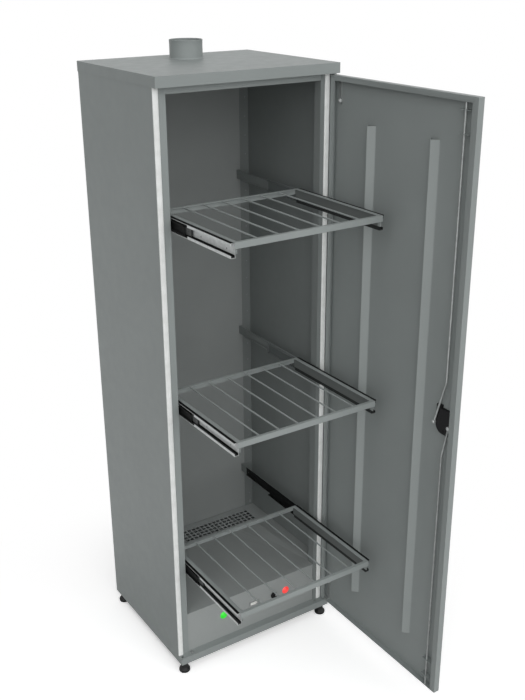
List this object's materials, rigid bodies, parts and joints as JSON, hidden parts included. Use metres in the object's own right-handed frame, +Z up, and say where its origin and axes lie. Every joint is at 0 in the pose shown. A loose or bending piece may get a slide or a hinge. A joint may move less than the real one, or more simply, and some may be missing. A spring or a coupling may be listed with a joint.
{
  "type": "drying cabinet",
  "caption": "Tall sheet steel drying cabinet with a heater box in the base, sliding wire shelves, an exhaust spigot and a hinged door with a rod lock.",
  "frame": {"origin": "on the floor, under the middle of the box that the cabinet fills with its door open", "axes": "+Z up, +X to the right along the front, +Y from the front to the back"},
  "size_m": [0.628, 1.091, 1.979],
  "materials": {
    "body_paint": "satin grey powder coat",
    "inner_paint": "satin grey powder coat",
    "shelf_paint": "satin grey powder coat",
    "white_seal": "matt",
    "foot_plastic": "matt moulded",
    "black_slide": "black passivated",
    "zinc_steel": "zinc plated",
    "black_plastic": "satin moulded",
    "white_plastic": "gloss moulded",
    "green_lens": "clear tinted lens",
    "red_lens": "clear tinted lens"
  },
  "bodies": {
    "cabinet": {"left_side_panel": "body_paint", "right_side_panel": "body_paint", "back_panel": "inner_paint", "roof_cap": "body_paint", "base_tray": "body_paint", "front_header": "body_paint", "exhaust_spigot": "body_paint", "left_door_seal": "white_seal", "right_door_seal": "white_seal", "front_left_foot": "foot_plastic", "front_right_foot": "foot_plastic", "back_left_foot": "foot_plastic", "back_right_foot": "foot_plastic", "heater_cover": "inner_paint", "fan_housing": "black_plastic", "fan_motor": "zinc_steel", "heating_element": "zinc_steel", "element_bracket": "zinc_steel", "thermostat": "black_plastic", "terminal_block": "white_plastic", "cable_gland": "black_plastic", "green_lamp": "green_lens", "red_lamp": "red_lens", "switch_frame": "white_plastic", "bottom_left_outer_slide": "black_slide", "bottom_right_outer_slide": "black_slide", "middle_left_outer_slide": "black_slide", "middle_right_outer_slide": "black_slide", "top_left_outer_slide": "black_slide", "top_right_outer_slide": "black_slide", "left_slide_brackets": "zinc_steel", "right_slide_brackets": "zinc_steel"},
    "fan": {"fan_impeller": "black_plastic"},
    "knob": {"control_knob": "black_plastic"},
    "rocker": {"switch_rocker": "white_plastic"},
    "bottom_slides": {"bottom_mid_slides": "black_slide"},
    "bottom_shelf": {"bottom_shelf": "shelf_paint", "bottom_left_inner_slide": "zinc_steel", "bottom_right_inner_slide": "zinc_steel"},
    "middle_slides": {"middle_mid_slides": "black_slide"},
    "middle_shelf": {"middle_shelf": "shelf_paint", "middle_left_inner_slide": "zinc_steel", "middle_right_inner_slide": "zinc_steel"},
    "top_slides": {"top_mid_slides": "black_slide"},
    "top_shelf": {"top_shelf": "shelf_paint", "top_left_inner_slide": "zinc_steel", "top_right_inner_slide": "zinc_steel"},
    "door": {"door_panel": "body_paint", "hinge_side_rib": "body_paint", "lock_side_rib": "body_paint", "lock_housing": "black_plastic", "rod_guides": "body_paint", "upper_hinge": "zinc_steel", "lower_hinge": "zinc_steel", "hinge_screws": "zinc_steel"},
    "handle": {"door_handle": "black_plastic", "lock_cylinder": "zinc_steel", "lock_pinion": "zinc_steel"},
    "upper_rod": {"upper_lock_rod": "zinc_steel"},
    "lower_rod": {"lower_lock_rod": "zinc_steel"}
  },
  "joints": [
    {"name": "fan_spin", "type": "hinge", "parent": "cabinet", "child": "fan", "pos_m": [-0.124, 0.2325, 0.085], "axis": [0, 0, 1], "continuous": true},
    {"name": "knob_turn", "type": "hinge", "parent": "cabinet", "child": "knob", "pos_m": [0.068, 0.0587, 0.151], "axis": [0, 1, 0], "range_deg": [0, 270]},
    {"name": "rocker_tilt", "type": "hinge", "parent": "cabinet", "child": "rocker", "pos_m": [-0.011, 0.0627, 0.151], "axis": [0, 0, 1], "range_deg": [-14, 0]},
    {"name": "bottom_shelf_slide", "type": "slide", "parent": "cabinet", "child": "bottom_shelf", "axis": [0, 1, 0], "range_m": [0, 0.33]},
    {"name": "bottom_mid_slide", "type": "slide", "parent": "cabinet", "child": "bottom_slides", "axis": [0, 1, 0], "range_m": [0, 0.165]},
    {"name": "middle_shelf_slide", "type": "slide", "parent": "cabinet", "child": "middle_shelf", "axis": [0, 1, 0], "range_m": [0, 0.33]},
    {"name": "middle_mid_slide", "type": "slide", "parent": "cabinet", "child": "middle_slides", "axis": [0, 1, 0], "range_m": [0, 0.165]},
    {"name": "top_shelf_slide", "type": "slide", "parent": "cabinet", "child": "top_shelf", "axis": [0, 1, 0], "range_m": [0, 0.33]},
    {"name": "top_mid_slide", "type": "slide", "parent": "cabinet", "child": "top_slides", "axis": [0, 1, 0], "range_m": [0, 0.165]},
    {"name": "door_hinge", "type": "hinge", "parent": "cabinet", "child": "door", "pos_m": [0.276, 0.0425, 0.9795], "axis": [0, 0, 1], "range_deg": [-5, 90]},
    {"name": "handle_turn", "type": "hinge", "parent": "door", "child": "handle", "pos_m": [0.286, -0.4895, 0.9795], "axis": [1, 0, 0], "range_deg": [0, 90]},
    {"name": "upper_rod_slide", "type": "slide", "parent": "door", "child": "upper_rod", "axis": [0, 0, 1], "range_m": [0, 0.01414]},
    {"name": "lower_rod_slide", "type": "slide", "parent": "door", "child": "lower_rod", "axis": [0, 0, -1], "range_m": [0, 0.01414]}
  ],
  "couplings": [
    {"joint": "bottom_mid_slide", "follows": "bottom_shelf_slide", "ratio": 0.5},
    {"joint": "middle_mid_slide", "follows": "middle_shelf_slide", "ratio": 0.5},
    {"joint": "top_mid_slide", "follows": "top_shelf_slide", "ratio": 0.5},
    {"joint": "handle_turn", "follows": "upper_rod_slide", "rad_per_m": 111.11},
    {"joint": "lower_rod_slide", "follows": "upper_rod_slide", "ratio": 1}
  ]
}
